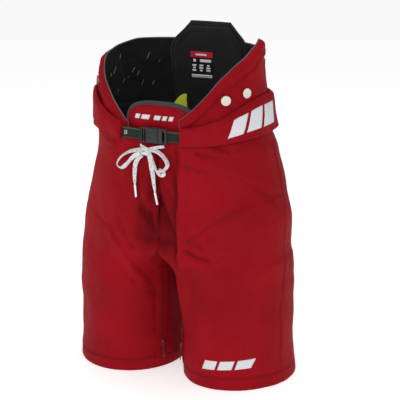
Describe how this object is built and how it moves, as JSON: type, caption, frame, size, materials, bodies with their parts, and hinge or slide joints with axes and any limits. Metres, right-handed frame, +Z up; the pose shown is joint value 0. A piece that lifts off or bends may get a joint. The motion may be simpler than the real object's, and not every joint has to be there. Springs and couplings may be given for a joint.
{
  "type": "hockey pants",
  "caption": "Padded ice hockey pants with a laced and buckled waist, flared kidney wings, a tall spine pad, suspender buttons and two zipped padded legs that swing at the hips.",
  "frame": {"origin": "centre of the bounding box in plan, on the plane that the hems stand on", "axes": "+Z up along the body, -Y the wearer's front, +X the wearer's left"},
  "size_m": [0.4164, 0.2484, 0.628],
  "materials": {
    "red_nylon": "plain-woven coated nylon, satin sheen",
    "lining_fabric": "knit polyester lining with a sparse dash print",
    "black_fabric": "brushed black knit over foam",
    "lime_foam": "lime moulded foam with a fabric face",
    "binding_tape": "grosgrain edge tape",
    "webbing": "woven polypropylene webbing with lime edge threads",
    "buckle_plastic": "moulded acetal, fine texture",
    "guard_plastic": "thermoformed polyethylene",
    "pad_foam": "closed-cell foam sheet",
    "button_plastic": "cream moulded button",
    "lace_cotton": "flat woven lace with lime and grey flecks",
    "aglet_plastic": "clear-white film tip",
    "label_fabric": "printed satin patch",
    "zip_metal": "die-cast zinc, satin"
  },
  "bodies": {
    "waist": {"fly_panel": "red_nylon", "seat_panel": "red_nylon", "crotch_gusset": "red_nylon", "tailbone_pad": "pad_foam", "tongue_pad": "red_nylon", "tongue_binding": "binding_tape", "spine_pad": "black_fabric", "spine_panel": "black_fabric", "size_label": "label_fabric", "hip_shell_left": "red_nylon", "hip_cap_left": "guard_plastic", "hip_foam_left": "pad_foam", "waist_lining_left": "lining_fabric", "kidney_wing_left": "red_nylon", "belt_band_left": "red_nylon", "lime_fin_left": "lime_foam", "belt_strap_left": "webbing", "lace_loop_left": "lace_cotton", "lace_tail_left": "lace_cotton", "aglet_left": "aglet_plastic", "button_front_left_1": "button_plastic", "button_front_left_2": "button_plastic", "button_back_left_1": "button_plastic", "button_back_left_2": "button_plastic", "hip_shell_right": "red_nylon", "hip_cap_right": "guard_plastic", "hip_foam_right": "pad_foam", "waist_lining_right": "lining_fabric", "kidney_wing_right": "red_nylon", "belt_band_right": "red_nylon", "lime_fin_right": "lime_foam", "belt_strap_right": "webbing", "lace_loop_right": "lace_cotton", "lace_tail_right": "lace_cotton", "aglet_right": "aglet_plastic", "button_front_right_1": "button_plastic", "button_front_right_2": "button_plastic", "button_back_right_1": "button_plastic", "button_back_right_2": "button_plastic", "buckle_socket": "buckle_plastic", "strap_adjuster": "buckle_plastic", "lace_knot": "lace_cotton"},
    "left_leg": {"leg_shell_left": "red_nylon", "leg_lining_left": "lining_fabric", "thigh_guard_left": "guard_plastic", "thigh_foam_left": "pad_foam", "zip_tape_left": "webbing"},
    "left_zip_slider": {"zip_slider_left": "zip_metal"},
    "left_zip_pull": {"zip_pull_left": "zip_metal"},
    "right_leg": {"leg_shell_right": "red_nylon", "leg_lining_right": "lining_fabric", "thigh_guard_right": "guard_plastic", "thigh_foam_right": "pad_foam", "zip_tape_right": "webbing"},
    "right_zip_slider": {"zip_slider_right": "zip_metal"},
    "right_zip_pull": {"zip_pull_right": "zip_metal"},
    "buckle_clip": {"buckle_clip": "buckle_plastic"},
    "upper_prong": {"prong_upper": "buckle_plastic"},
    "lower_prong": {"prong_lower": "buckle_plastic"}
  },
  "joints": [
    {"name": "left_hip", "type": "hinge", "parent": "waist", "child": "left_leg", "pos_m": [0, 0, 0.425], "axis": [-1, 0, 0], "range_deg": [-10, 30]},
    {"name": "right_hip", "type": "hinge", "parent": "waist", "child": "right_leg", "pos_m": [0, 0, 0.425], "axis": [-1, 0, 0], "range_deg": [-10, 30]},
    {"name": "buckle_release", "type": "slide", "parent": "waist", "child": "buckle_clip", "axis": [1, 0, 0], "range_m": [0, 0.02], "deforming": ["belt_strap_left"]},
    {"name": "upper_prong_flex", "type": "hinge", "parent": "buckle_clip", "child": "upper_prong", "pos_m": [0.008, -0.1145, 0.4632], "axis": [0, -1, 0], "range_deg": [0, 8], "stiffness_Nm_per_rad": 0.05},
    {"name": "lower_prong_flex", "type": "hinge", "parent": "buckle_clip", "child": "lower_prong", "pos_m": [0.008, -0.1145, 0.4428], "axis": [0, 1, 0], "range_deg": [0, 8], "stiffness_Nm_per_rad": 0.05},
    {"name": "left_zip_slide", "type": "slide", "parent": "left_leg", "child": "left_zip_slider", "axis": [0, 0, 1], "range_m": [0, 0.135]},
    {"name": "left_zip_pull_swing", "type": "hinge", "parent": "left_zip_slider", "child": "left_zip_pull", "pos_m": [0.017, -0.05513, 0.0469], "axis": [-0.4606, 0.8876, 0], "range_deg": [0, 40]},
    {"name": "right_zip_slide", "type": "slide", "parent": "right_leg", "child": "right_zip_slider", "axis": [0, 0, 1], "range_m": [0, 0.135]},
    {"name": "right_zip_pull_swing", "type": "hinge", "parent": "right_zip_slider", "child": "right_zip_pull", "pos_m": [-0.017, -0.05513, 0.0469], "axis": [-0.4606, -0.8876, 0], "range_deg": [0, 40]}
  ],
  "couplings": [
    {"joint": "lower_prong_flex", "follows": "upper_prong_flex", "ratio": 1}
  ]
}
